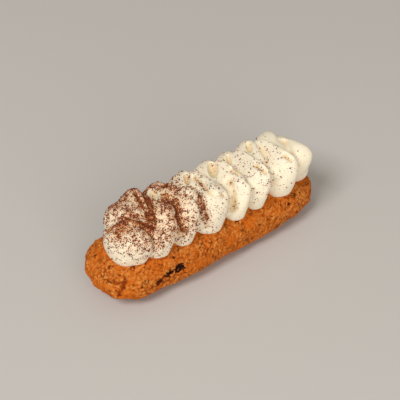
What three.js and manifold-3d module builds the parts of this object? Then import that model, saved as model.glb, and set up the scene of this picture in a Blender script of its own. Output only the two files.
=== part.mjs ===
// A baked eclair with a zigzag of piped cream on top. Millimetres, +Z up.
// +X runs along the eclair to its far end, -Y is the side that faces the viewer,
// and the origin is the middle of the underside.
import * as THREE from 'three';
import { mergeVertices } from 'three/addons/utils/BufferGeometryUtils.js';
import { ImprovedNoise } from 'three/addons/math/ImprovedNoise.js';
import Module from 'manifold-3d';

const wasm = await Module();
wasm.setup();

// ---------- driving dimensions ----------

const LENGTH = 130;            // baked shell, end to end
const WIDTH = 39.4;            // at its middle
const HEIGHT = 25.5;           // from the underside to the top, without the cream
const TAPER = 0.10;            // the near end is this much wider than the middle
const PLAN_POWER = 3.75;       // how blunt the ends are, seen from above
const SIDE_POWER = 2.45;       // how full the sides are, seen from the end
const FLAT_DEPTH = 1.4;        // how much of the round underside is pressed flat
const BED_GAP = 0.3;           // between the shell and the cream that lies on it

const CREAM_BED = 22;          // height at which the folds turn down onto the shell
const CREAM_REACH = 18;        // half the width over the folds
const FOLD_THICKNESS = 8;      // half the thickness of one fold of cream
const FOLD_LEAN = 0.55;        // how far a fold leans over its neighbour, per unit of thickness
const STROKE_LEAN = 0.8;       // and how far the strokes lean that end in the front turns
const FOLD_END = 96;           // degrees from the top at which a fold ends at the back
const ARCH_POWER = 0.6;        // below 1, the arch over the shell has a flat top and a shoulder
const SQUARENESS = 0.78;       // below 1, the section of a fold is boxy
const YAW = 0.25;              // each turn stands proud at its far side, like a slat of a blind
const HOLLOW_WIDTH = 0.4;      // half the width of the hollow beside it, as a share of the turn's

// The swellings of the crust aren't even, so the finished box is this far off the middle line.
const OFF_CENTRE = [-0.476, 0.213];

// ---------- small helpers ----------

const toRadians = THREE.MathUtils.degToRad;
const noise = new ImprovedNoise();

// A power that keeps the sign, for rounded-box curves.
const bend = (value, power) => Math.sign(value) * Math.abs(value) ** power;

// A smooth line through (angle, value) points.
function along(angles, values) {
  const line = new THREE.CubicInterpolant(new Float32Array(angles), new Float32Array(values), 1);
  return (angle) => line.evaluate(angle)[0];
}

// A closed ball of the given fineness, with each point moved by place(unit vector).
function shapedBall(around, rings, place) {
  const ball = new THREE.SphereGeometry(1, around, rings);
  ball.deleteAttribute('normal');
  ball.deleteAttribute('uv');
  const merged = mergeVertices(ball, 1e-4);
  const points = merged.getAttribute('position');
  const unit = new THREE.Vector3();
  for (let i = 0; i < points.count; i += 1) {
    unit.fromBufferAttribute(points, i).normalize();
    points.setXYZ(i, ...place(unit));
  }
  return merged;
}

function solidFrom(geometry) {
  const mesh = new wasm.Mesh({
    numProp: 3,
    vertProperties: geometry.getAttribute('position').array,
    triVerts: new Uint32Array(geometry.index.array),
  });
  const solid = new wasm.Manifold(mesh);
  if (solid.volume() > 0) return solid;
  mesh.triVerts.reverse();
  return new wasm.Manifold(mesh);
}

function geometryFrom(solid) {
  const mesh = solid.getMesh();
  const geometry = new THREE.BufferGeometry();
  geometry.setAttribute('position', new THREE.BufferAttribute(new Float32Array(mesh.vertProperties), 3));
  geometry.setIndex(new THREE.BufferAttribute(new Uint32Array(mesh.triVerts), 1));
  return geometry;
}

// ---------- the baked shell ----------

const SHELL_AROUND = 88;
const SHELL_RINGS = 24;
const HALF_BODY = (HEIGHT + FLAT_DEPTH) / 2;

// The crust is uneven at two scales: slow swellings, and crags between them.
const SWELL = { height: 1.1, length: 17, shift: [0, 5.3, 0] };
const CRAGS = { height: 0.9, length: 6.1, shift: [9.1, 0, 0] };
const RELIEF_SINK = 0.7;              // the unevenness lies mostly inside the smooth body
const OUTWARD = [0.7, 1, 0.8];        // share of the push along X, Y and Z
const SMOOTH_UNDER_CREAM = [4, 1];    // depths below the top between which the crags fade

// Knocks and hollows in the crust: place, radius and depth (negative stands proud).
const CRUST_MARKS = [
  { at: [-54, 13, 17], radius: 11, depth: -2.4 },   // fuller at the back of the near end
  { at: [-63, -2, 12], radius: 9, depth: -1.3 },
  { at: [-49, -17, 8], radius: 6, depth: -1.2 },    // swelling low on the front of the near end
  { at: [-58, -13, 15], radius: 4, depth: 1.3 },    // gouge down the near end
  { at: [-30, -19, 14], radius: 3.5, depth: 1.6 },  // burst blister, the largest
  { at: [-35, -19, 13], radius: 3, depth: 1.1 },    // and two smaller ones beside it
  { at: [-40, -18, 12], radius: 2.6, depth: 0.9 },
  { at: [63, -10, 12], radius: 5, depth: 1.6 },     // the ragged far end
  { at: [65, 6, 17], radius: 5, depth: -1.4 },
  { at: [60, -14, 20], radius: 4, depth: -1.2 },
];

function unevenness({ height, length, shift }, point) {
  const [x, y, z] = point.map((value, axis) => value / length + shift[axis]);
  return height * noise.noise(x, y, z);
}

function crustRelief(point) {
  let relief = unevenness(SWELL, point) + unevenness(CRAGS, point) - RELIEF_SINK;
  for (const { at, radius, depth } of CRUST_MARKS) {
    const distance = Math.hypot(point[0] - at[0], point[1] - at[1], point[2] - at[2]);
    relief -= depth * Math.exp(-((distance / radius) ** 2));
  }
  return relief;
}

// The smooth body: a point on it for a unit vector whose third axis is up.
function bodyPoint(unit) {
  const level = Math.hypot(unit.x, unit.y);
  const ring = bend(level, 2 / SIDE_POWER);
  const cosine = level > 0 ? unit.x / level : 1;
  const sine = level > 0 ? unit.y / level : 0;
  const x = (LENGTH / 2) * ring * bend(cosine, 2 / PLAN_POWER);
  const narrowing = 1 - (TAPER * x) / (LENGTH / 2);
  const y = (WIDTH / 2) * ring * bend(sine, 2 / PLAN_POWER) * narrowing;
  const z = HALF_BODY * (1 + bend(unit.z, 2 / SIDE_POWER)) - FLAT_DEPTH;
  return [x, y, z];
}

function shellPoint(unit) {
  const point = bodyPoint(unit);
  const [fadeStart, fadeEnd] = SMOOTH_UNDER_CREAM;
  const covered = THREE.MathUtils.smoothstep(point[2], HEIGHT - fadeStart, HEIGHT - fadeEnd);
  const push = crustRelief(point) * (1 - covered);
  const outward = new THREE.Vector3(unit.x * OUTWARD[0], unit.y * OUTWARD[1], unit.z * OUTWARD[2]);
  outward.setLength(push < 0 ? -push : push).multiplyScalar(Math.sign(push));
  return [point[0] + outward.x, point[1] + outward.y, Math.max(point[2] + outward.z, 0)];
}

function shellGeometry() {
  // three's ball has its poles on Y, so its Y is the body's up.
  return shapedBall(SHELL_AROUND, SHELL_RINGS, (unit) => {
    const upright = new THREE.Vector3(unit.x, -unit.z, unit.y);
    return shellPoint(upright);
  });
}

// ---------- the piped cream ----------

// The nozzle goes to and fro across the shell. Each entry is one turn of that zigzag, from the
// near end to the far one: where it lies along the shell, half the width of its lobe, how high
// the cream stands there above the bed, and at the front the degrees from the top at which it
// ends, and the depth and the place of the hollow along its near side (shares of the turn).
const FRONT_TURNS = [
  { x: -36.6, half: 8.2, rise: 22.6, end: 93.5, hollow: [0.6, -0.6] },
  { x: -22.6, half: 7.2, rise: 22.8, end: 94, hollow: [0.8, -0.6] },
  { x: -7.4, half: 9.4, rise: 22.6, end: 96.5, hollow: [0.5, -0.7] },
  { x: 8.5, half: 7.4, rise: 22.2, end: 96, hollow: [0.8, -0.45] },
  { x: 21.3, half: 6.6, rise: 22.2, end: 94, hollow: [0.3, -0.4] },
  { x: 38, half: 8.4, rise: 22.4, end: 94.5, hollow: [0.7, -0.6] },
];
const BACK_TURNS = [
  { x: -38.5, half: 6.6, rise: 24.8 },
  { x: -25, half: 7.4, rise: 21.3 },
  { x: -9, half: 7, rise: 20.6 },
  { x: 5.5, half: 7.2, rise: 20 },
  { x: 19, half: 5.8, rise: 19.8 },
  { x: 31.6, half: 5.8, rise: 21.2 },
  { x: 44.2, half: 6.4, rise: 20.6 },
];

// A stroke towards the viewer bows to the far end, on top and less on the shoulder. The shares
// are of the turns' half widths: at the start, on top and on the shoulder.
const BOW_TOP = 2.2;
const BOW_SHOULDER = 0.8;
const START_SHARE = 0.62;
const TOP_SHARE = 0.55;
const SHOULDER_SHARE = 0.95;
const LOBE_TOP_SHARE = 0.9;

// Angles over the arch, in degrees from the top, positive towards the viewer.
const STROKE_START = -35;
const SHOULDER = 48;
const LOBE_SHOULDER = 40;
const PAST_TOP = 10;
const HOLLOW_FADE = [4, 30];   // degrees before the end of a stroke, between which its hollow grows

// The cream starts with a fold in front of the near dollop, and its last stroke turns down into
// the far one. Their stops are [degrees, place, half width].
const FIRST_FOLD = {
  stops: [[-10, -48.4, 6], [30, -48.4, 7.4], [62, -47.8, 8.2], [95, -47.6, 7.4]],
  rise: 17.4,
  lean: 0.1,
  reach: 14.9,
  yaw: 0.34,
};
const LAST_STROKE = {
  stops: [[-30, 46, 6], [10, 49, 6.5], [55, 52.3, 6.8], [89, 50.4, 6.4]],
  rise: 20,
  lean: 0.4,
  reach: 14,
};

const ROPE_AROUND = 20;
const DEGREES_PER_RING = 12;
const LEAST_RINGS = 8;
const STROKE_END = 0.3;        // how blunt the end of a stroke is: 0 square, 1 pointed
const LOBE_END = 0.5;
const LEAN_ON_SIDES = 0.25;    // share of the lean that a fold keeps on its way down
const LEAN_CENTRE = 0.3;       // a fold leans about this share of its thickness

// A thick leaning rope of cream laid over the shell as an arch, closed at both ends. Its stops
// are [degrees from the top, place along the shell, half width].
function rope(shape) {
  const { stops, rise, lean = FOLD_LEAN, reach = CREAM_REACH, yaw = YAW } = shape;
  const { end = STROKE_END, hollow = [0, 0] } = shape;
  const angles = stops.map((stop) => stop[0]);
  const middleAt = along(angles, stops.map((stop) => stop[1]));
  const halfAt = along(angles, stops.map((stop) => stop[2]));
  const first = angles[0];
  const last = angles[angles.length - 1];
  const rings = Math.max(LEAST_RINGS, Math.round((last - first) / DEGREES_PER_RING));
  return solidFrom(shapedBall(ROPE_AROUND, rings, (unit) => {
    const pole = Math.acos(THREE.MathUtils.clamp(-unit.y, -1, 1)) / Math.PI;
    const angle = first + (last - first) * (pole + (1 + unit.y) / 2) / 2;
    const round = Math.atan2(unit.z, unit.x);
    const across = Math.cos(round);
    const outward = Math.sin(round);
    const swell = Math.hypot(unit.x, unit.z) ** end;
    const side = halfAt(angle) * swell * bend(across, SQUARENESS);
    const hollowed = dent(hollow, last - angle, across, outward);
    const out = FOLD_THICKNESS * swell * (bend(outward, SQUARENESS) - hollowed) + yaw * side;
    return overTheArch({ angle, rise, reach, lean, x: middleAt(angle) + side, out });
  }));
}

// The hollow along a stroke, as a share of its thickness. It fades out before the stroke's end.
function dent([depth, place], beforeEnd, across, outward) {
  const fade = THREE.MathUtils.smoothstep(beforeEnd, ...HOLLOW_FADE);
  return fade * depth * Math.exp(-(((across - place) / HOLLOW_WIDTH) ** 2)) * Math.max(outward, 0);
}

// A point on a fold, from its angle over the arch and how far out of the fold's core it lies.
function overTheArch({ angle, rise, reach, lean, x, out }) {
  const turn = toRadians(angle);
  const forth = bend(Math.sin(turn), ARCH_POWER);
  const up = Math.cos(turn) > 0 ? bend(Math.cos(turn), ARCH_POWER) : Math.cos(turn);
  const leaning = lean * Math.max(LEAN_ON_SIDES, Math.cos(turn));
  return [
    x + leaning * (out - FOLD_THICKNESS * LEAN_CENTRE),
    -(reach - FOLD_THICKNESS + out) * forth,
    CREAM_BED + (rise - FOLD_THICKNESS + out) * up,
  ];
}

function backLobe({ x, half, rise }) {
  const stops = [[-FOLD_END, x, half], [-LOBE_SHOULDER, x, half], [PAST_TOP, x, half * LOBE_TOP_SHARE]];
  return rope({ stops, rise, end: LOBE_END });
}

// The stroke that runs from a turn at the back to one at the front.
function stroke(back, front) {
  const stops = [
    [STROKE_START, back.x + BOW_TOP, back.half * START_SHARE],
    [0, (back.x + front.x) / 2 + BOW_TOP, back.half * TOP_SHARE],
    [SHOULDER, (back.x + 3 * front.x) / 4 + BOW_SHOULDER, front.half * SHOULDER_SHARE],
    [front.end, front.x, front.half],
  ];
  return rope({ stops, rise: front.rise, lean: STROKE_LEAN, hollow: front.hollow });
}

// A plain rounded lump of cream. A power below 1 makes it boxier.
function lump({ at, size, lean = 0, turn = 0, power = 1, around = 22, rings = 14 }) {
  const cosine = Math.cos(toRadians(turn));
  const sine = Math.sin(toRadians(turn));
  return solidFrom(shapedBall(around, rings, (unit) => {
    const up = bend(unit.y, power) * size[2];
    const x = bend(unit.x, power) * size[0] + lean * up;
    const y = -bend(unit.z, power) * size[1];
    return [at[0] + cosine * x - sine * y, at[1] + sine * x + cosine * y, at[2] + up];
  }));
}

const LUMPS = [
  { at: [0, 0, 24], size: [52, 10, 14] },                                                // the heart
  { at: [-47.6, 0, 27], size: [9, 11.5, 10], turn: -6, power: 0.85 },                    // near dollop
  { at: [-42.9, 4, 34.4], size: [10.8, 8.8, 10.6], turn: -28, power: 0.85 },             // its upper fold
  { at: [50, 3, 27], size: [9.8, 11, 13.4], turn: -8, power: 0.85 },                     // far dollop
  { at: [53.4, -1.5, 28.8], size: [8, 9.5, 11.4], turn: -12, power: 0.85, lean: -0.12 }, // its nose
];

// Where a stroke starts back from a turn at the front, it lies on that turn as a dome.
const TONGUES = [
  { at: [-30, -6.5, 40.2], size: [6, 5.6, 5], turn: -20 },
  { at: [-14.3, -4, 40.8], size: [5.6, 4.8, 5], turn: -20 },
  { at: [-2, -8.8, 39.4], size: [6, 6.4, 5.4], turn: -20 },
];

// The hollows inside the turns at the back, where two strokes part.
const PITS = [
  { at: [-25.6, 7, 43.2], size: [2.6, 4.5, 4.4], turn: -30 },
  { at: [-6, 6.4, 42.6], size: [1.8, 4.6, 4], turn: -30 },
  { at: [8.6, 5.2, 42], size: [2.8, 6.5, 4.6], turn: -30 },
  { at: [20, 7, 41.6], size: [1.3, 4.6, 4], turn: -25 },
  { at: [33, 7.4, 43], size: [1.9, 4.4, 4], turn: -25 },
];
const SMALL_LUMP = { around: 14, rings: 10 };

function creamGeometry(shell) {
  const folds = [
    ...BACK_TURNS.map(backLobe),
    ...FRONT_TURNS.map((front, i) => stroke(BACK_TURNS[i], front)),
    rope(FIRST_FOLD),
    rope(LAST_STROKE),
    ...LUMPS.map(lump),
    ...TONGUES.map((tongue) => lump({ ...tongue, ...SMALL_LUMP })),
  ];
  const heap = folds.reduce((sum, next) => sum.add(next));
  const pits = PITS.map((pit) => lump({ ...pit, ...SMALL_LUMP }));
  const bed = solidFrom(shell).translate([0, 0, BED_GAP]);
  const pieces = [...pits, bed].reduce((rest, next) => rest.subtract(next), heap).decompose();
  pieces.sort((a, b) => b.volume() - a.volume());
  return geometryFrom(pieces[0]);
}

// ---------- assembly ----------

function piece(name, geometry, color, roughness) {
  geometry.translate(-OFF_CENTRE[0], -OFF_CENTRE[1], 0);
  geometry.computeVertexNormals();
  const mesh = new THREE.Mesh(geometry, new THREE.MeshStandardMaterial({ color, roughness, metalness: 0 }));
  mesh.name = name;
  return mesh;
}

const shell = shellGeometry();
const cream = creamGeometry(shell);
const eclair = new THREE.Group();
eclair.add(piece('shell', shell, 0xb8692a, 0.85));
eclair.add(piece('cream', cream, 0xf6efdc, 0.5));

export default eclair;
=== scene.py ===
# %% [markdown]
# # An eclair with piped cream
#
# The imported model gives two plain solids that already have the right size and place: the baked
# shell and the zigzag of cream. This lesson dresses them: a crackled crust, soft whipped cream
# and a dusting of cocoa. It starts from the frame, so that nothing has to be fitted afterwards.

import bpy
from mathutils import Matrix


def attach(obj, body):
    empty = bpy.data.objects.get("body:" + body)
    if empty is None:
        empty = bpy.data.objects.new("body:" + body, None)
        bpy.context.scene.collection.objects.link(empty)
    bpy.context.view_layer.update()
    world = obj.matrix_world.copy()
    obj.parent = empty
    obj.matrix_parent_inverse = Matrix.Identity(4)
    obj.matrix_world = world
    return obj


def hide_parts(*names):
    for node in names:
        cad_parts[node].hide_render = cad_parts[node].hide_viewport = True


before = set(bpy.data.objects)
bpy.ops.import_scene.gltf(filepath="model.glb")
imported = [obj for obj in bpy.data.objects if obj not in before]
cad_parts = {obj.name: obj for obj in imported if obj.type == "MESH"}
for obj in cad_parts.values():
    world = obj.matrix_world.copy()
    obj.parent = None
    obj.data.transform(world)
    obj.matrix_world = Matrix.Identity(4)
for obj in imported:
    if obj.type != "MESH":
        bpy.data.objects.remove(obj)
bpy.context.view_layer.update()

# %% [markdown]
# Every length here is written in millimetres, as on a baker's drawing, and turned into metres
# where a mesh is made. Operators act on whatever is selected, and the frame comes in selected,
# so a small helper selects one piece alone before each step. Reading and moving all the points
# of a mesh at once, as one array, is much faster than one by one.

# %% Small helpers
import math

import bpy
import numpy as np
from mathutils import Vector, noise

MM = 0.001
SEED = 7
# The solids' source moves its shapes by this much, to put the middle of their box on the origin.
# Places on the eclair are written below as they are before that move.
OFF_CENTRE = np.array((-0.476, 0.213, 0))


def select_only(*pieces):
    bpy.ops.object.select_all(action="DESELECT")
    for piece in pieces:
        piece.select_set(True)
    bpy.context.view_layer.objects.active = pieces[-1]


def points_of(piece):
    """The points of a mesh, in mm."""
    flat = np.empty(len(piece.data.vertices) * 3, np.float32)
    piece.data.vertices.foreach_get("co", flat)
    return flat.reshape(-1, 3).astype(float) / MM


def move_points(piece, points):
    piece.data.vertices.foreach_set("co", (points * MM).astype(np.float32).ravel())
    piece.data.update()


def normals_of(piece):
    flat = np.empty(len(piece.data.vertices) * 3, np.float32)
    piece.data.vertex_normals.foreach_get("vector", flat)
    return flat.reshape(-1, 3).astype(float)


def apply_modifier(piece, kind, **settings):
    select_only(piece)
    bpy.ops.object.modifier_add(type=kind)
    modifier = piece.modifiers[-1]
    for key, value in settings.items():
        setattr(modifier, key, value)
    bpy.ops.object.modifier_apply(modifier=modifier.name)


def keep_values(piece, name, values):
    """Stores one number for each point, for the material to read."""
    layer = piece.data.attributes.new(name, "FLOAT", "POINT")
    layer.data.foreach_set("value", np.asarray(values, np.float32))


def ramp(value, start, end):
    """0 before the start, 1 past the end, and smooth between them."""
    t = np.clip((value - start) / (end - start), 0, 1)
    return t * t * (3 - 2 * t)


def distance_to_line(points, start, end):
    start, end = np.array(start), np.array(end)
    share = np.clip((points - start) @ (end - start) / ((end - start) @ (end - start)), 0, 1)
    return np.linalg.norm(points - start - share[:, None] * (end - start), axis=1)


def triangles_in(piece):
    return sum(len(polygon.vertices) - 2 for polygon in piece.data.polygons)


def free_copy(piece, name):
    copy = bpy.data.objects.new(name, piece.data.copy())
    bpy.context.scene.collection.objects.link(copy)
    return copy


print("pieces in the frame:", sorted(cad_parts))

# %% [markdown]
# ## Camera
# The photograph looks down at the eclair from 40 degrees above the table, with its near end to
# the left. A long lens from 0.6 m keeps the far end nearly as large as the near one, and a small
# shift of the lens puts the eclair where the picture has it, without turning the camera.

# %% Camera
CAMERA_TARGET = np.array((0, 0, 20))      # in the middle of the eclair, near the crust's top
CAMERA_DISTANCE = 0.6
CAMERA_ELEVATION = math.radians(40)
CAMERA_AZIMUTH = math.radians(-37.8)
LENS = 110.8
SENSOR = 36
PICTURE_SIDE = 400                        # in pixels
MOVED_IN_PICTURE = (-5.3, 14.4)           # the eclair's place in the picture, in pixels
look_at = Vector(CAMERA_TARGET - OFF_CENTRE) * MM


def place_camera():
    back = Vector((
        math.sin(CAMERA_AZIMUTH) * math.cos(CAMERA_ELEVATION),
        -math.cos(CAMERA_AZIMUTH) * math.cos(CAMERA_ELEVATION),
        math.sin(CAMERA_ELEVATION),
    ))
    bpy.ops.object.camera_add(location=look_at + back * CAMERA_DISTANCE)
    camera = bpy.context.object
    camera.name = "camera"
    camera.rotation_euler = (-back).to_track_quat("-Z", "Y").to_euler()
    camera.data.lens = LENS
    camera.data.sensor_width = SENSOR
    camera.data.shift_x, camera.data.shift_y = (move / PICTURE_SIDE for move in MOVED_IN_PICTURE)
    camera.data.clip_start = 0.01
    bpy.context.scene.camera = camera
    return back


camera_back = place_camera()
print("from the eclair to the camera:", tuple(camera_back))

# %% [markdown]
# ## Floor and light
# A plain pale floor and soft boxes, as in a small studio. The main light stands to the left of
# the camera and high, so that the shadow falls to the right and away. A second, weaker one stands
# low beside the camera, a little to its right, and keeps the front of the cream bright. The warm
# tint of what comes from all around takes the grey out of the cream's shadows.

# %% Floor and light
FLOOR_SIZE = 6.0
FLOOR_COLOUR = (0.62, 0.60, 0.57, 1)
FLOOR_ROUGHNESS = 0.9
SURROUNDINGS = (1, 0.9, 0.78, 1)
SURROUNDINGS_STRENGTH = 0.3
# Direction as shares to the picture's right, towards the camera and upwards, then distance and
# width in metres, and watts.
LIGHTS = {
    "key_light": ((-0.37, 0.54, 0.74), 2.5, 0.9, 34),
    "fill_light": ((0.3, 1, 0.45), 1.6, 1.2, 11),
}


def plain_material(name, colour, roughness):
    material = bpy.data.materials.new(name)
    material.use_nodes = True
    surface = material.node_tree.nodes["Principled BSDF"]
    surface.inputs["Base Color"].default_value = colour
    surface.inputs["Roughness"].default_value = roughness
    return material


def soft_box(name, direction, distance, size, watts):
    bpy.ops.object.light_add(type="AREA", location=look_at + direction.normalized() * distance)
    light = bpy.context.object
    light.name = name
    light.rotation_euler = (-direction).to_track_quat("-Z", "Y").to_euler()
    light.data.size = size
    light.data.energy = watts


def light_the_studio():
    to_the_right = Vector((-camera_back.y, camera_back.x, 0)).normalized()
    to_the_camera = Vector((camera_back.x, camera_back.y, 0)).normalized()
    upwards = Vector((0, 0, 1))
    for name, (shares, distance, size, watts) in LIGHTS.items():
        direction = shares[0] * to_the_right + shares[1] * to_the_camera + shares[2] * upwards
        soft_box(name, direction, distance, size, watts)
    world = bpy.data.worlds.new("studio")
    bpy.context.scene.world = world
    world.use_nodes = True
    background = world.node_tree.nodes["Background"]
    background.inputs["Color"].default_value = SURROUNDINGS
    background.inputs["Strength"].default_value = SURROUNDINGS_STRENGTH


bpy.ops.mesh.primitive_plane_add(size=FLOOR_SIZE)
floor = bpy.context.object
floor.name = "floor"
floor.data.materials.append(plain_material("pale_floor", FLOOR_COLOUR, FLOOR_ROUGHNESS))
light_the_studio()
bpy.context.scene.view_settings.view_transform = "Standard"
print("lights:", ", ".join(LIGHTS))

# %% [markdown]
# ## The crust
# A choux case is baked with a thin disc of sugar dough on top, which cracks as the case swells.
# The crust is rough at every scale: slow swellings, granules a millimetre or two across, fine
# cracks and small dark pores. The solid has the swellings. A bump in the material could give the
# rest, but it wouldn't show in the outline, so the relief is real. A copy of the solid is first
# turned into an even skin of small faces by a voxel remesh, and smoothed.

# %% Crust: an even skin over the solid
CRUST_FACE = 0.33         # width of one face
CRUST_SMOOTHING = 30


def copy_of_node(node, name):
    """A free copy of one of the frame's solids, with its loose triangles joined up."""
    piece = free_copy(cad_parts[node], name)
    piece.data.materials.clear()
    select_only(piece)
    bpy.ops.object.mode_set(mode="EDIT")
    bpy.ops.mesh.select_all(action="SELECT")
    bpy.ops.mesh.remove_doubles(threshold=1e-6)
    bpy.ops.object.mode_set(mode="OBJECT")
    return piece


crust = copy_of_node("shell", "crust")
apply_modifier(crust, "REMESH", mode="VOXEL", voxel_size=CRUST_FACE * MM)
apply_modifier(crust, "SMOOTH", factor=0.5, iterations=CRUST_SMOOTHING)
print("crust:", len(crust.data.vertices), "points")

# %% [markdown]
# The relief is worked out point by point. The granules are the cells of a Voronoi pattern, and
# grit, lumps and wrinkles come from smooth noise. Cracks run along the borders between the cells
# of a wider pattern, and pores lie in the middles of a few cells of a third. Each has its own
# width and height, so that each can be set by eye against the real crust.

# %% Crust: the relief at one point
GRANULE_CELL = 1.45
GRANULE_HEIGHT = 0.62
GRANULE_EDGE = 0.45       # how far from its middle a granule sinks into the skin, in cells
GRIT_LENGTH = 0.9
GRIT_HEIGHT = 0.2
LUMP_LENGTH = 3.2
LUMP_HEIGHT = 0.45
LUMP_MEAN = 0.2
WRINKLE_LENGTH = 6.5
WRINKLE_HEIGHT = 0.4
WRINKLE_PLACE = Vector((3.1, 0, 0))       # another stretch of the same noise
WARP_LENGTH = 1.8
WARP = 0.7                # pushes the cells out of true, so that none looks like a polygon
CRACK_CELL = 3.0
CRACK_DEPTH = 0.4
CRACK_WIDTH = 0.1         # in cells
CRACKED_LENGTH = 3.1      # the cracks come in patches about this wide
CRACKED_EDGE = (5, 0.6)   # how sharply a patch starts, and how rare it is
PORE_CELL = 1.3
PORE_SHARE = 0.2
PORE_SIZE = 0.16          # of the smallest pore, in cells
PORE_SIZE_MORE = 0.22     # what the largest has more
PORE_DRAW = 17.3          # these two give each cell two random numbers of its own
SIZE_DRAW = 31.7
TRIAL_PLACE = Vector((-60, 0, 15))        # on the near end


def one_pore(point):
    """0 on the skin, 1 in the middle of a pore."""
    distances, centres = noise.voronoi(point / PORE_CELL)
    if abs(noise.cell(centres[0] * PORE_DRAW)) > PORE_SHARE:
        return 0.0
    size = PORE_SIZE + PORE_SIZE_MORE * abs(noise.cell(centres[0] * SIZE_DRAW))
    return max(0.0, 1 - distances[0] / size)


def one_crack(point, warped):
    """0 on the skin, 1 in the middle of a crack."""
    distances, _ = noise.voronoi(warped / CRACK_CELL)
    sharpness, rarity = CRACKED_EDGE
    cracked = min(1.0, max(0.0, sharpness * noise.noise(point / CRACKED_LENGTH) - rarity))
    return max(0.0, 1 - (distances[1] - distances[0]) / CRACK_WIDTH) * cracked


def one_relief(point):
    """Height over the smooth skin, how deep in a crack and in a pore, how far up a granule."""
    warped = point + WARP * noise.noise_vector(point / WARP_LENGTH)
    distances, _ = noise.voronoi(warped / GRANULE_CELL)
    granule = GRANULE_EDGE - distances[0]
    grit = noise.noise(point / GRIT_LENGTH)
    lumps = abs(noise.noise(point / LUMP_LENGTH)) - LUMP_MEAN
    wrinkles = noise.noise(point / WRINKLE_LENGTH + WRINKLE_PLACE)
    crack = one_crack(point, warped)
    height = GRANULE_HEIGHT * granule + GRIT_HEIGHT * grit + LUMP_HEIGHT * lumps
    return height + WRINKLE_HEIGHT * wrinkles - CRACK_DEPTH * crack, crack, one_pore(point), granule


print("height, crack, pore and granule at a trial place:", one_relief(TRIAL_PLACE))

# %% [markdown]
# Low on the front a few blisters have burst. Their hollows are burnt black, and their rims are
# ragged. A gouge runs down the near end. These are single marks, so each has its place. Every
# point is then pushed along its normal by all of the relief together. Near the floor the relief
# fades out, so that the eclair rests flat. At the end the skin is thinned to fewer faces, where
# they matter least.

# %% Crust: marks and the finished skin
PORE_DEPTH = 0.6
PORE_ROUNDNESS = 0.8
SINK = 0.1                # the whole skin goes in by this, because the granules stand out of it
# Place, radius and depth of each burst blister.
BLISTERS = [
    ((-29.6, -19.3, 14.3), 2.7, 1.0),
    ((-35.3, -19, 13.8), 2.3, 0.8),
    ((-40.6, -18, 11.6), 2.0, 0.6),
]
BLISTER_STRETCH = (0.75, 1, 1)            # below 1 makes it longer that way
BLISTER_RIM = (1.1, 0.6)                  # where it starts and where it is deep, in radii
RAGGED_LENGTH = 1.3
RAGGED_NOISE = (0.7, 2.0, 2)              # roughness, how much finer each layer is, and layers
RAGGED_RIM = 0.6
RAGGED_GRANULES = 0.35
GOUGE = ((-55.8, -12.7, 19), (-60.4, -13.4, 10.7))
GOUGE_HALF_WIDTH = 1.2
GOUGE_DEPTH = 0.8
FLOOR_FADE = 2.5
# How dark a crack's painted shade is.
CRACK_SHADE = 0.7      # against that of a pore
CRUST_TRIANGLES = 195000


def roughen_crust(piece):
    points, normals = points_of(piece) + OFF_CENTRE, normals_of(piece)
    values = np.array([one_relief(Vector(point)) for point in points])
    height, crack, pore, granule = values.T
    burnt = np.zeros(len(points))
    ragged = np.array([noise.fractal(Vector(p) / RAGGED_LENGTH, *RAGGED_NOISE) for p in points])
    for place, radius, depth in BLISTERS:
        far = np.linalg.norm((points - place) * BLISTER_STRETCH, axis=1) / radius
        near = ramp(far + RAGGED_RIM * ragged, *BLISTER_RIM) * depth
        height -= near
        burnt = np.maximum(burnt, near)
    height -= GOUGE_DEPTH * np.exp(-(distance_to_line(points, *GOUGE) / GOUGE_HALF_WIDTH) ** 2)
    off_floor = ramp(points[:, 2], 0.0, FLOOR_FADE)
    push = (height - PORE_DEPTH * pore ** PORE_ROUNDNESS - SINK) * off_floor
    points += normals * push[:, None]
    points[:, 2] = points[:, 2].clip(0, None)
    move_points(piece, points - OFF_CENTRE)
    # The relief is also kept for the material, which paints shade where the skin sinks.
    keep_values(piece, "relief", height)
    keep_values(piece, "granule", granule + RAGGED_GRANULES * ragged)
    # Pores and cracks are kept for the material to paint nearly black, as shade.
    keep_values(piece, "pore", np.maximum(pore, CRACK_SHADE * crack))
    keep_values(piece, "burnt", burnt)


def thin_out(piece, triangles):
    """Merges the least needed faces until the wanted number is left."""
    apply_modifier(piece, "TRIANGULATE")
    apply_modifier(piece, "DECIMATE", ratio=triangles / triangles_in(piece))


roughen_crust(crust)
apply_modifier(crust, "SMOOTH", factor=0.3, iterations=1)
thin_out(crust, CRUST_TRIANGLES)
select_only(crust)
bpy.ops.object.shade_smooth()
print("crust:", triangles_in(crust), "triangles")

# %% [markdown]
# A material is built up in layers, as a painter would: a ground colour, then one colour after
# another, each where some value says so. The value is an attribute that was kept with the mesh,
# or a noise on the object's own coordinates. These helpers add one node or one layer each.

# %% Layers of colour


def node_in(tree, kind, **settings):
    node = tree.nodes.new(kind)
    for key, value in settings.items():
        setattr(node, key, value)
    return node


def attribute_in(tree, name):
    return node_in(tree, "ShaderNodeAttribute", attribute_name=name).outputs["Fac"]


def noise_in(tree, scale, detail=3.0, roughness=0.55):
    """Smooth noise between about 0.3 and 0.7. The scale is in patches to the metre."""
    place = node_in(tree, "ShaderNodeTexCoord").outputs["Object"]
    pattern = node_in(tree, "ShaderNodeTexNoise")
    pattern.inputs["Scale"].default_value = scale
    pattern.inputs["Detail"].default_value = detail
    pattern.inputs["Roughness"].default_value = roughness
    tree.links.new(place, pattern.inputs["Vector"])
    return pattern.outputs["Fac"]


def spread_in(tree, value, low, high, start=0.0, end=1.0):
    """Stretches a value from the range low..high to start..end."""
    spread = node_in(tree, "ShaderNodeMapRange")
    tree.links.new(value, spread.inputs["Value"])
    for name, number in (("From Min", low), ("From Max", high), ("To Min", start), ("To Max", end)):
        spread.inputs[name].default_value = number
    return spread.outputs["Result"]


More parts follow.
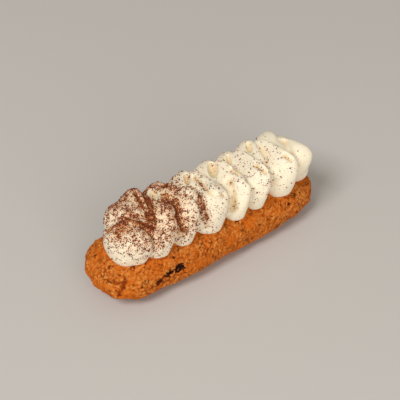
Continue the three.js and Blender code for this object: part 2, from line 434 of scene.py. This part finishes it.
def mix_in(tree, share, first, second):
    """Mixes two colours, each a socket or four numbers."""
    mix = node_in(tree, "ShaderNodeMix", data_type="RGBA")
    colours = [socket for socket in mix.inputs if socket.type == "RGBA"]
    for socket, colour in ((mix.inputs["Factor"], share), (colours[0], first), (colours[1], second)):
        if isinstance(colour, bpy.types.NodeSocket):
            tree.links.new(colour, socket)
        else:
            socket.default_value = colour
    return next(socket for socket in mix.outputs if socket.type == "RGBA")


def layers_in(tree, ground, layers):
    """Lays colours over a ground. A layer: its value, where it starts and is full, share, colour."""
    body = ground
    for value, start, full, share, colour in layers:
        body = mix_in(tree, spread_in(tree, value, start, full, 0.0, share), body, colour)
    return body


def bump_in(tree, height, strength, distance):
    bump = node_in(tree, "ShaderNodeBump")
    bump.inputs["Strength"].default_value = strength
    bump.inputs["Distance"].default_value = distance
    tree.links.new(height, bump.inputs["Height"])
    return bump.outputs["Normal"]


print("values kept with the crust:", [layer.name for layer in crust.data.attributes])

# %% [markdown]
# The baked sugar is dry and matt. Its colour follows the relief: golden on the granules, partly
# the sugar's own colour and partly a painted highlight on their tops; deep brown as painted shade
# wherever the skin sinks; nearly black as painted shade in the pores and the cracks; and black in
# the burnt blisters. A slow noise makes some stretches more orange than others, and a fast one
# adds brown specks.

# %% Crust: material
GOLDEN_AND_HIGHLIGHT = (0.74, 0.29, 0.065, 1)
BAKED = (0.50, 0.115, 0.009, 1)
DEEP_BROWN_AND_SHADE = (0.22, 0.036, 0.003, 1)
CHARRED_AND_PORE_SHADE = (0.012, 0.006, 0.004, 1)
ORANGE = (0.60, 0.13, 0.007, 1)
CRUST_ROUGHNESS = 0.85
CRUST_SHINE = 0.08
STRETCHES = 110           # patches to the metre
SPECKS = 600
CRUMBS = 1400
CRUMB_BUMP = (0.6, 0.0005)                # strength, and height in metres


def crust_material():
    material = plain_material("baked_crust", BAKED, CRUST_ROUGHNESS)
    tree = material.node_tree
    surface = tree.nodes["Principled BSDF"]
    body = layers_in(tree, BAKED, [
        # Golden on the granules: partly the sugar's own colour, partly a painted highlight on their
        # tops.
        (attribute_in(tree, "granule"), -0.25, 0.4, 1.0, GOLDEN_AND_HIGHLIGHT),
        (noise_in(tree, STRETCHES), 0.42, 0.62, 0.7, ORANGE),
        (noise_in(tree, SPECKS, 4), 0.56, 0.68, 0.8, DEEP_BROWN_AND_SHADE),
        # Painted shade: deep brown wherever the skin sinks, as in cracks, the gouge and low lumps.
        (attribute_in(tree, "relief"), -0.15, -0.6, 1.0, DEEP_BROWN_AND_SHADE),
        # Painted shade: nearly black in the pores and the cracks; the burnt blisters below are truly
        # black.
        (attribute_in(tree, "pore"), 0.05, 0.6, 0.9, CHARRED_AND_PORE_SHADE),
        (attribute_in(tree, "burnt"), 0.25, 0.7, 0.95, CHARRED_AND_PORE_SHADE),
    ])
    tree.links.new(body, surface.inputs["Base Color"])
    crumbs = bump_in(tree, noise_in(tree, CRUMBS, 5), *CRUMB_BUMP)
    tree.links.new(crumbs, surface.inputs["Normal"])
    surface.inputs["Specular IOR Level"].default_value = CRUST_SHINE
    return material


crust.data.materials.append(crust_material())
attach(crust, "root")
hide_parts("shell")
print("crust: material", crust.data.materials[0].name)

# %% [markdown]
# ## The piped cream
# The nozzle goes to and fro across the shell. Each stroke is a thick rope that arches over it
# and leans on the one before, and where it turns at the front it bulges into a lobe. Extruding a
# ring along a path gives neither the lean nor the hollow along one side, so each rope starts as
# a ball, and a formula lays its points along the arch. The turns are the same as in the solid,
# and the faces are finer.

# %% Cream: the zigzag's turns
CREAM_BED = 22            # height over the floor from which a rope's rise is measured
CREAM_REACH = 18          # how far a rope comes forward and back from the shell's middle
# Place along the shell, half width, rise over the bed, where it ends in degrees from the top,
# and the depth and the place of its hollow side.
FRONT_TURNS = [
    (-36.6, 8.2, 22.6, 93.5, 0.6, -0.6),
    (-22.6, 7.2, 22.8, 94, 0.8, -0.6),
    (-7.4, 9.4, 22.6, 96.5, 0.5, -0.7),
    (8.5, 7.4, 22.2, 96, 0.8, -0.45),
    (21.3, 6.6, 22.2, 94, 0.3, -0.4),
    (38.0, 8.4, 22.4, 94.5, 0.7, -0.6),
]
# Place, half width, rise.
BACK_TURNS = [
    (-38.5, 6.6, 24.8),
    (-25.0, 7.4, 21.3),
    (-9.0, 7.0, 20.6),
    (5.5, 7.2, 20),
    (19.0, 5.8, 19.8),
    (31.6, 5.8, 21.2),
    (44.2, 6.4, 20.6),
]
print("turns at the front and at the back:", len(FRONT_TURNS), len(BACK_TURNS))

# %% [markdown]
# One rope. The ball's poles become the rope's two ends. A point's height on the ball says how
# far along the arch it goes, and its direction round the ball says which side of the rope it is
# on. Powers below 1 make the arch and the rope's section boxier than a circle, as the cream is.

# %% Cream: one rope
FOLD_THICKNESS = 8
ARCH_POWER = 0.6          # less than 1 gives each rope a flat top and a square shoulder
SQUARENESS = 0.78         # and each rope a boxier section
YAW = 0.25                # each turn stands proud at its far side, like a slat of a blind
HOLLOW_WIDTH = 0.4        # and is hollowed along its near side
HOLLOW_FADE = (4, 30)     # degrees before the rope's end, between which the hollow fades out
BLUNT = 0.3               # how a rope's end closes: 0 is cut off, 1 is a point
ROUND = 0.5
LEAST_LEAN = 0.25         # share of the lean that is left low down
LEANS_FROM = 0.3          # share of the thickness at which the lean pulls neither way
BALL_AROUND = 64
DEGREES_PER_RING = 3
LEAST_RINGS = 24


def bend(value, power):
    return np.sign(value) * np.abs(value) ** power


def smooth_line(angles, values, wanted):
    """A smooth line through (angle, value) points, read at the wanted angles."""
    angles, values = np.array(angles, float), np.array(values, float)
    steps = np.diff(angles)
    slopes = np.diff(values) / steps
    tangents = np.empty(len(values))
    tangents[1:-1] = (values[2:] - values[:-2]) / (angles[2:] - angles[:-2])
    tangents[0] = 1.5 * slopes[0] - 0.5 * tangents[1]
    tangents[-1] = 1.5 * slopes[-1] - 0.5 * tangents[-2]
    i = np.clip(np.searchsorted(angles, wanted) - 1, 0, len(steps) - 1)
    t = (wanted - angles[i]) / steps[i]
    start = (1 + 2 * t) * (1 - t) ** 2 * values[i] + t * (1 - t) ** 2 * steps[i] * tangents[i]
    end = t * t * (3 - 2 * t) * values[i + 1] + t * t * (t - 1) * steps[i] * tangents[i + 1]
    return start + end


def add_ball(name, rings):
    """A ball and its points, as shares of its radius."""
    bpy.ops.mesh.primitive_uv_sphere_add(segments=BALL_AROUND, ring_count=rings, radius=MM)
    ball = bpy.context.object
    ball.name = name
    return ball, points_of(ball)


def add_fold(name, stops, rise, lean, reach=CREAM_REACH, closing=BLUNT, yaw=YAW, hollow=(0, 0)):
    """A leaning rope laid over the shell. Stops: degrees from the top, place along, half width."""
    angles, middles, halves = zip(*stops)
    span = angles[-1] - angles[0]
    fold, unit = add_ball(name, max(LEAST_RINGS, round(span / DEGREES_PER_RING)))
    length_share = np.arccos(np.clip(-unit[:, 2], -1, 1)) / math.pi
    angle = angles[0] + span * (length_share + (1 + unit[:, 2]) / 2) / 2
    turn = np.radians(angle)
    around = np.arctan2(unit[:, 1], unit[:, 0])
    across, outward = np.cos(around), np.sin(around)
    depth, place = hollow
    dent = ramp(angles[-1] - angle, *HOLLOW_FADE) * depth
    dent = dent * np.exp(-((across - place) / HOLLOW_WIDTH) ** 2) * outward.clip(0, None)
    swell = np.hypot(unit[:, 0], unit[:, 1]) ** closing
    side = smooth_line(angles, halves, angle) * swell * bend(across, SQUARENESS)
    out = FOLD_THICKNESS * swell * (bend(outward, SQUARENESS) - dent) + yaw * side
    leaning = lean * np.maximum(LEAST_LEAN, np.cos(turn)) * (out - FOLD_THICKNESS * LEANS_FROM)
    forth, up = bend(np.sin(turn), ARCH_POWER), np.cos(turn)
    up = np.where(up > 0, bend(up, ARCH_POWER), up)
    x = smooth_line(angles, middles, angle) + side + leaning
    y = -(reach - FOLD_THICKNESS + out) * forth
    z = CREAM_BED + (rise - FOLD_THICKNESS + out) * up
    placed = np.stack((x, y, z), axis=1)
    move_points(fold, placed - OFF_CENTRE)
    return fold


print("rings in a rope over the whole shell:", round(2 * FRONT_TURNS[0][3] / DEGREES_PER_RING))

# %% [markdown]
# Every rope of the zigzag comes from the two lists of turns. A lobe hangs down at each back
# turn, and a stroke runs forward from it, narrow over the top and wide where it ends in the front
# lobe. The first and the last rope are unlike the others, so they have stops of their own.

# %% Cream: lobes and strokes
LOBE_LEAN = 0.55
LOBE_END = 96             # degrees from the top, as all the angles here
LOBE_SHOULDER = 40
LOBE_PAST_TOP = 10
LOBE_TOP_SHARE = 0.9      # its half width past the top, against that at the turn
STROKE_LEAN = 0.8
STROKE_START = -35
STROKE_SHOULDER = 48
STROKE_SHARES = (0.62, 0.55, 0.95)        # half widths at its start, top and shoulder
STROKE_BOW = 2.2          # how far it swings out along the shell, over the top
SHOULDER_BOW = 0.8
FIRST_FOLD = {
    "stops": [(-10, -48.4, 6), (30, -48.4, 7.4), (62, -47.8, 8.2), (95, -47.6, 7.4)],
    "rise": 17.4, "lean": 0.1, "reach": 14.9, "yaw": 0.34,
}
LAST_STROKE = {
    "stops": [(-30, 46, 6), (10, 49, 6.5), (55, 52.3, 6.8), (89, 50.4, 6.4)],
    "rise": 20, "lean": 0.4, "reach": 14,
}


def back_lobe(i, x, half, rise):
    stops = [
        (-LOBE_END, x, half),
        (-LOBE_SHOULDER, x, half),
        (LOBE_PAST_TOP, x, half * LOBE_TOP_SHARE),
    ]
    return add_fold(f"back_lobe_{i}", stops, rise, LOBE_LEAN, closing=ROUND)


def stroke(i, back, front):
    (back_x, back_half, _), (x, half, rise, end, *hollow) = back, front
    start_share, top_share, shoulder_share = STROKE_SHARES
    stops = [
        (STROKE_START, back_x + STROKE_BOW, back_half * start_share),
        (0, (back_x + x) / 2 + STROKE_BOW, back_half * top_share),
        (STROKE_SHOULDER, (back_x + 3 * x) / 4 + SHOULDER_BOW, half * shoulder_share),
        (end, x, half),
    ]
    return add_fold(f"stroke_{i}", stops, rise, STROKE_LEAN, hollow=hollow)


def zigzag():
    lobes = [back_lobe(i, *turn) for i, turn in enumerate(BACK_TURNS)]
    strokes = [stroke(i, BACK_TURNS[i], front) for i, front in enumerate(FRONT_TURNS)]
    return lobes + strokes + [
        add_fold("first_fold", **FIRST_FOLD),
        add_fold("last_stroke", **LAST_STROKE),
    ]


ropes = zigzag()
print("ropes:", len(ropes))

# %% [markdown]
# The dollops at the two ends are heaps of boxy lumps, one long lump fills the middle under the
# ropes, and where a stroke starts back from a front turn, its tongue lies on it as a dome. All of
# them overlap the ropes. They are joined into one mesh, which the next step melts together.

# %% Cream: dollops and tongues
LUMP_RINGS = 40
BOXY = 0.85
# Middle, half sizes, turn seen from above in degrees, how much it leans, and how boxy it is.
LUMPS = {
    "heart": {"at": (0, 0, 24), "size": (52, 10, 14)},
    "near_low": {"at": (-47.6, 0, 27), "size": (9, 11.5, 10), "turn": -6, "power": BOXY},
    "near_high": {"at": (-42.9, 4, 34.4), "size": (10.8, 8.8, 10.6), "turn": -28, "power": BOXY},
    "far_back": {"at": (50, 3, 27), "size": (9.8, 11, 13.4), "turn": -8, "power": BOXY},
    "far_nose": {
        "at": (53.4, -1.5, 28.8), "size": (8, 9.5, 11.4), "lean": -0.12, "turn": -12, "power": BOXY,
    },
}
# Middle and half sizes.
TONGUES = [
    ((-30, -6.5, 40.2), (6, 5.6, 5)),
    ((-14.3, -4, 40.8), (5.6, 4.8, 5)),
    ((-2, -8.8, 39.4), (6, 6.4, 5.4)),
]
TONGUE_TURN = -20


def add_lump(name, at, size, lean=0.0, turn=0.0, power=1.0):
    """A rounded lump. A power below 1 makes it boxier."""
    lump, unit = add_ball(name, LUMP_RINGS)
    x, y, z = (bend(unit, power) * size).T
    x = x + lean * z
    cosine, sine = math.cos(math.radians(turn)), math.sin(math.radians(turn))
    placed = np.stack((cosine * x - sine * y, sine * x + cosine * y, z), axis=1)
    move_points(lump, placed + np.array(at) - OFF_CENTRE)
    return lump


def join_as(name, parts):
    select_only(*parts)
    bpy.ops.object.join()
    joined = bpy.context.object
    joined.name = name
    bpy.ops.object.mode_set(mode="EDIT")
    bpy.ops.mesh.select_all(action="SELECT")
    bpy.ops.mesh.normals_make_consistent(inside=False)
    bpy.ops.object.mode_set(mode="OBJECT")
    return joined


dollops = [add_lump(name, **values) for name, values in LUMPS.items()]
tongues = [add_lump(f"tongue_{i}", *dome, turn=TONGUE_TURN) for i, dome in enumerate(TONGUES)]
cream = join_as("whipped_cream", ropes + dollops + tongues)
print("ropes and lumps of cream joined:", len(cream.data.vertices), "points")

# %% [markdown]
# The ropes overlap, so a voxel remesh melts them into one skin, as soft cream does. The pits
# inside the back turns are scooped out of it with balls, and a second remesh gives the cut the
# same even faces. The sharp creases where one fold lies on the next are pressed in last, along
# the normals, because a remesh would round them away.

# %% Cream: one skin with its pits and creases
CREAM_FACE = 0.42
FIRST_SMOOTHING = 4
LAST_SMOOTHING = 3
# Pits inside the turns, each a ball: middle, half sizes, turn in degrees.
PITS = [
    ((-25.6, 7, 43.2), (2.6, 4.5, 4.4), -30),
    ((-6, 6.4, 42.6), (1.8, 4.6, 4), -30),
    ((8.6, 5.2, 42), (2.8, 6.5, 4.6), -30),
    ((20, 7, 41.6), (1.3, 4.6, 4), -25),
    ((33, 7.4, 43), (1.9, 4.4, 4), -25),
]
# Creases pressed between the folds: half width, depth, and the places they run through.
CREASES = [
    (1.0, 2.8, [(-35, 8, 45), (-36, 2, 43.5), (-36.2, -3, 42), (-36.2, -8.4, 38.6)]),
    (1.1, 2.4, [(-31, 3, 43), (-32.5, -1, 42.6), (-35, -6, 41.6), (-37, -10.2, 38)]),
    (0.9, 2.6, [(-47.5, 0.5, 43), (-44.1, -3.5, 41.2), (-40, -5.4, 39), (-38, -9, 38)]),
    (1.4, 2.6, [
        (-54.5, 9, 31), (-53.5, 6.5, 33.8), (-53.4, 3.5, 36.4), (-52.4, 1.6, 38.4), (-49, -0.6, 41.4),
    ]),
    (0.9, 2.8, [
        (-19, 8, 43), (-17.8, 5.5, 42.4), (-16.7, -0.5, 42.8), (-15.9, -6, 44), (-13, -10.4, 42),
    ]),
    (1.6, 1.6, [(-10, -11, 38), (-9.9, -14, 33.5), (-10.3, -14.6, 26.6)]),
    (1.1, 2.2, [
        (-4.2, 4.2, 42.6), (-4.8, -3, 43), (-6, -9, 43.5), (-5.2, -12.2, 42.5), (0.5, -14, 41),
    ]),
    (2.1, 2.4, [(9.3, -6.5, 39.8), (7.4, -11.2, 35.8), (6.3, -13.6, 28.5)]),
    (1.5, 3.2, [(14, -3.4, 43), (15.1, -7.6, 42), (16.2, -12.4, 41.2)]),
    (1.6, 2.4, [(30, 4, 40.5), (26.3, -5.3, 41.2)]),
    (1.0, 2.5, [(25.6, -6.9, 42), (26.3, -10, 41.8), (26.8, -13, 41.2)]),
    (0.9, 2.5, [(41.1, -9.6, 43), (42.3, -13, 41.4)]),
    (2.4, 3.4, [(51, 2, 40.6), (48.4, -3.5, 39.6), (46.5, -8, 39)]),
]
CREASE_REACH = 3          # how far a crease still presses, in half widths


def press_creases(piece):
    points, normals = points_of(piece) + OFF_CENTRE, normals_of(piece)
    for width, depth, line in CREASES:
        apart = np.min([distance_to_line(points, *ends) for ends in zip(line, line[1:])], axis=0)
        near = apart < CREASE_REACH * width
        points[near] -= normals[near] * depth * np.exp(-(apart[near] / width) ** 2)[:, None]
    move_points(piece, points - OFF_CENTRE)


def cut(piece, tool):
    apply_modifier(piece, "BOOLEAN", operation="DIFFERENCE", solver="MANIFOLD", object=tool)
    bpy.data.objects.remove(tool)


apply_modifier(cream, "REMESH", mode="VOXEL", voxel_size=CREAM_FACE * MM)
scoops = [add_lump(f"scoop_{i}", at, size, turn=turn) for i, (at, size, turn) in enumerate(PITS)]
cut(cream, join_as("scoops", scoops))
apply_modifier(cream, "REMESH", mode="VOXEL", voxel_size=CREAM_FACE * MM)
apply_modifier(cream, "SMOOTH", factor=0.5, iterations=FIRST_SMOOTHING)
press_creases(cream)
apply_modifier(cream, "SMOOTH", factor=0.5, iterations=LAST_SMOOTHING)
print("cream:", len(cream.data.vertices), "points")

# %% [markdown]
# The cream settles into every hollow of the crust. Cutting it with a copy of the finished crust
# gives it exactly that underside, and the two skins meet without a gap.

# %% Cream: laid on the crust
CREAM_TRIANGLES = 195000

cut(cream, free_copy(crust, "bed"))
thin_out(cream, CREAM_TRIANGLES)
print("cream:", triangles_in(cream), "triangles")

# %% [markdown]
# Light that falls into a fold comes back yellower, because it has passed through the cream, and
# the folds lie in shade: that yellow shade is painted into the colour of the hollows. The hollows
# are found by comparing the skin with a copy that is smoothed a great deal: where the skin lies
# below the copy, it is hollow. Cocoa drifts into the same places. It was sifted from above, and a
# little from the front and the near end, so the sides that face away from there stay nearly
# clean, and so do the pits.

# %% Cream: hollows and cocoa, point by point
HOLLOW_SMOOTHING = 150
# Share of cocoa along the shell: a heavy dusting at the near end, hardly any at the far one.
COCOA_ALONG = [
    (-60, 0.35), (-46, 0.85), (-36, 1.0), (-24, 1.05), (-15, 0.55), (-4, 0.25), (6, 0.12),
    (22, 0.2), (40, 0.12), (48, 0.03), (60, 0),
]
SIFTED_FROM = (-0.22, -0.32, 0.92)
# Each of these is a least share, what is added to it at most, and the range over which it is.
BY_FACING = (0.12, 0.88, -0.2, 0.7)       # how much the skin faces where it is sifted from
BY_HEIGHT = (0.55, 0.45, 24, 36)
BY_PIT = (0.15, 0.85, 0.95, 1.3)          # distance from a pit's middle, in half sizes
BY_HOLLOW = (0.7, 1.2, -0.1, 1.3)         # depth of the hollow
# Where it lies thick, in the valleys: radius, and the places it runs between.
DRIFTS = [
    (2.2, (-46, -1, 42.4), (-38, -9, 38)),
    (3, (-53.5, -1, 37.5), (-49, -2, 40)),
    (1.4, (-34, 12, 43), (-35.5, 2, 43)),
    (1.6, (-35.5, 2, 43), (-37.5, -8, 38.5)),
    (2.2, (-31, 4, 42.5), (-22, 2, 42)),
    (2.6, (-22, -5, 41), (-24.6, -14, 32)),
    (1.6, (-17.8, 8, 42), (-16.5, -6, 42.6)),
    (2.0, (-10, -8, 40), (-10, -14, 30)),
]
IN_A_DRIFT = 0.9


def hollows_of(piece):
    """Height of a smoothed copy over each point, in mm: above 0 in a hollow."""
    smooth = free_copy(piece, "smooth")
    apply_modifier(smooth, "SMOOTH", factor=0.5, iterations=HOLLOW_SMOOTHING)
    height = np.sum((points_of(smooth) - points_of(piece)) * normals_of(piece), axis=1)
    bpy.data.objects.remove(smooth)
    return height


def share_by(value, least, added, start, end):
    return least + added * ramp(value, start, end)


def cocoa_share(points, normals, hollow):
    """How much of the skin the cocoa covers: it falls from above and gathers in the hollows."""
    places = points + OFF_CENTRE
    falls = share_by(normals @ SIFTED_FROM, *BY_FACING)
    falls *= share_by(points[:, 2], *BY_HEIGHT)
    for place, size, _ in PITS:
        falls *= share_by(np.linalg.norm((places - place) / size, axis=1), *BY_PIT)
    drift = np.zeros(len(points))
    for radius, start, end in DRIFTS:
        drift = np.maximum(drift, np.exp(-(distance_to_line(places, start, end) / radius) ** 2))
    along, share = zip(*COCOA_ALONG)
    everywhere = np.interp(points[:, 0], along, share) * share_by(hollow, *BY_HOLLOW)
    return (everywhere + IN_A_DRIFT * drift) * falls


cream_hollow = hollows_of(cream)
cream_cocoa = cocoa_share(points_of(cream), normals_of(cream), cream_hollow)
keep_values(cream, "hollow", cream_hollow)
keep_values(cream, "cocoa", cream_cocoa)
print("hollows from", cream_hollow.min(), "to", cream_hollow.max(), "mm")

# %% [markdown]
# Whipped cream is white with a little yellow, and light goes a millimetre into it, which the
# subsurface weight gives. The finest cocoa can't be seen as grains: it stains the cream. The next
# size up is a speckle, where a fast noise rises over a threshold that sinks as the cocoa gets
# thicker, so the specks grow and run together as the real ones do.

# %% Cream: material
CREAM_WHITE = (0.94, 0.84, 0.645, 1)
PAINTED_HOLLOW_SHADE = (0.78, 0.55, 0.23, 1)
COCOA_STAIN = (0.88, 0.44, 0.12, 1)
COCOA_PALE = (0.60, 0.16, 0.02, 1)
COCOA_DARK = (0.08, 0.01, 0.0015, 1)
CREAM_ROUGHNESS = 0.5
CREAM_SHINE = 0.3
CREAM_DEPTH = 0.0012                      # how deep light goes, in metres
CREAM_DEPTH_BY_COLOUR = (1.0, 0.7, 0.4)
CREAM_BUBBLES = 700                       # to the metre
BUBBLE_BUMP = (0.1, 0.0004)               # strength, and height in metres
COCOA_SPECKS = 1250
COCOA_TONES = 800
SPECK_THRESHOLD = (0.05, 1.6, 0.66, 0.43) # from little cocoa to much, from few specks to many


def cocoa_specks(tree):
    """The speckle: above 0 in a speck."""
    specks = node_in(tree, "ShaderNodeMath", operation="SUBTRACT")
    tree.links.new(noise_in(tree, COCOA_SPECKS, 3, 0.7), specks.inputs[0])
    threshold = spread_in(tree, attribute_in(tree, "cocoa"), *SPECK_THRESHOLD)
    tree.links.new(threshold, specks.inputs[1])
    return specks.outputs[0]


def cream_material():
    material = plain_material("whipped_cream", CREAM_WHITE, CREAM_ROUGHNESS)
    tree = material.node_tree
    surface = tree.nodes["Principled BSDF"]
    tones = [(noise_in(tree, COCOA_TONES, 3), 0.42, 0.6, 1.0, COCOA_DARK)]
    body = layers_in(tree, CREAM_WHITE, [
        # Painted shade: the hollows are painted yellower, as light comes back yellow from the folds.
        (attribute_in(tree, "hollow"), 0.0, 1.2, 1.0, PAINTED_HOLLOW_SHADE),
        (attribute_in(tree, "cocoa"), 0.15, 1.3, 0.62, COCOA_STAIN),
        (cocoa_specks(tree), 0, 0.03, 0.95, layers_in(tree, COCOA_PALE, tones)),
    ])
    tree.links.new(body, surface.inputs["Base Color"])
    surface.inputs["Subsurface Weight"].default_value = 0.3
    surface.inputs["Subsurface Radius"].default_value = CREAM_DEPTH_BY_COLOUR
    surface.inputs["Subsurface Scale"].default_value = CREAM_DEPTH
    surface.inputs["Specular IOR Level"].default_value = CREAM_SHINE
    bubbles = bump_in(tree, noise_in(tree, CREAM_BUBBLES, 3), *BUBBLE_BUMP)
    tree.links.new(bubbles, surface.inputs["Normal"])
    return material


cream.data.materials.clear()
cream.data.materials.append(cream_material())
select_only(cream)
bpy.ops.object.shade_smooth()
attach(cream, "root")
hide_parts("cream")
print("cream: material", cream.data.materials[0].name)

# %% [markdown]
# ## Cocoa
# Cocoa is sifted over the cream by hand: coarse dark grains and finer, redder dust. Each grain is
# a real lump at its true size. Their places are drawn at random on the skin, by area, and more
# of them where the share of cocoa is high. A soft noise makes the dusting patchy, as a sieve
# that is shaken does.

# %% Cocoa: where the grains fall
PATCH_LENGTH = 2.4
PATCH_MEAN = 0.5
PATCH_LIMITS = (0.05, 1)


def places_on(piece, values, count, random):
    """Points on the skin, drawn by area and by the values at the corners."""
    piece.data.calc_loop_triangles()
    corners = np.empty(len(piece.data.loop_triangles) * 3, np.int32)
    piece.data.loop_triangles.foreach_get("vertices", corners)
    corners = corners.reshape(-1, 3)
    points = points_of(piece)[corners]
    cross = np.cross(points[:, 1] - points[:, 0], points[:, 2] - points[:, 0])
    weight = np.linalg.norm(cross, axis=1) * values[corners].mean(axis=1)
    chosen = random.choice(len(corners), count, p=weight / weight.sum())
    share = random.dirichlet((1, 1, 1), count)
    normals = normals_of(piece)[corners[chosen]].mean(axis=1)
    return (points[chosen] * share[:, :, None]).sum(axis=1), normals


def patches_on(piece):
    values = [PATCH_MEAN + noise.noise(Vector(p) / PATCH_LENGTH) for p in points_of(piece)]
    return np.array(values).clip(*PATCH_LIMITS)


patches = patches_on(cream)
print("patchiness from", patches.min(), "to", patches.max())

# %% [markdown]
# One grain of each kind is modelled from a primitive, with few faces, because there are tens of
# thousands of them. All the copies are then worked out at once, each dented, stretched, turned
# and sized on its own, and joined into one mesh for each kind. A number kept with each grain
# gives its tone.

# %% Cocoa: grains and dust
COCOA_ROUGHNESS = 0.9
CONE_DEPTH = 1.4          # against its radius
SMALLER = (0.6, 1)        # a second draw, which makes small grains the most common
STRETCHED = (0.6, 1.2)
DENTED = (0.75, 1.2)
PROUD = 0.2               # how far a grain's middle stands over the skin, against its size
GRAIN_COUNT = 9600
GRAIN_SIZE = (0.16, 0.46)                 # smallest and largest radius
GRAINS_FOLLOW = 1.2       # how strongly they gather where the share of cocoa is high
GRAIN_DARK = (0.06, 0.009, 0.0015, 1)
GRAIN_PALE = (0.36, 0.065, 0.008, 1)
DUST_COUNT = 32000
DUST_SIZE = (0.08, 0.2)
DUST_FOLLOWS = 1.3
DUST_DARK = (0.42, 0.09, 0.01, 1)
DUST_PALE = (0.86, 0.36, 0.07, 1)


def grain_shape(round_one):
    """The corners and faces of one lump, from a primitive."""
    if round_one:
        bpy.ops.mesh.primitive_ico_sphere_add(subdivisions=1, radius=MM)
    else:
        bpy.ops.mesh.primitive_cone_add(vertices=4, radius1=MM, depth=CONE_DEPTH * MM)
    lump = bpy.context.object
    apply_modifier(lump, "TRIANGULATE")
    corners = points_of(lump)
    faces = np.array([list(polygon.vertices) for polygon in lump.data.polygons])
    bpy.data.objects.remove(lump)
    return corners, faces


def turned(count, random):
    """Random rotations, one matrix for each grain."""
    square, _ = np.linalg.qr(random.normal(size=(count, 3, 3)))
    return square


def scatter(name, round_one, count, sizes, power, seed):
    random = np.random.default_rng(seed)
    corners, faces = grain_shape(round_one)
    places, normals = places_on(cream, cream_cocoa.clip(0, None) ** power * patches, count, random)
    size = random.uniform(*sizes, count) * random.uniform(*SMALLER, count)
    stretch = random.uniform(*STRETCHED, (count, 3)) * size[:, None]
    dented = corners[None] * random.uniform(*DENTED, (count, len(corners), 1))
    lumps = np.einsum("nij,nkj->nki", turned(count, random), dented * stretch[:, None])
    lumps += (places + normals * size[:, None] * PROUD)[:, None]
    joined = faces[None] + len(corners) * np.arange(count)[:, None, None]
    mesh = bpy.data.meshes.new(name)
    mesh.from_pydata((lumps.reshape(-1, 3) * MM).tolist(), [], joined.reshape(-1, 3).tolist())
    piece = bpy.data.objects.new(name, mesh)
    bpy.context.scene.collection.objects.link(piece)
    keep_values(piece, "tone", np.repeat(random.random(count), len(corners)))
    return piece


def cocoa_material(name, dark, pale):
    material = plain_material(name, dark, COCOA_ROUGHNESS)
    tree = material.node_tree
    body = mix_in(tree, attribute_in(tree, "tone"), dark, pale)
    tree.links.new(body, tree.nodes["Principled BSDF"].inputs["Base Color"])
    return material


def finish_cocoa(piece, dark, pale):
    piece.data.materials.append(cocoa_material(piece.name, dark, pale))
    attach(piece, "root")
    print(piece.name, triangles_in(piece), "triangles")


grains = scatter("cocoa_grains", True, GRAIN_COUNT, GRAIN_SIZE, GRAINS_FOLLOW, SEED)
finish_cocoa(grains, GRAIN_DARK, GRAIN_PALE)
dust = scatter("cocoa_dust", False, DUST_COUNT, DUST_SIZE, DUST_FOLLOWS, SEED + 1)
finish_cocoa(dust, DUST_DARK, DUST_PALE)
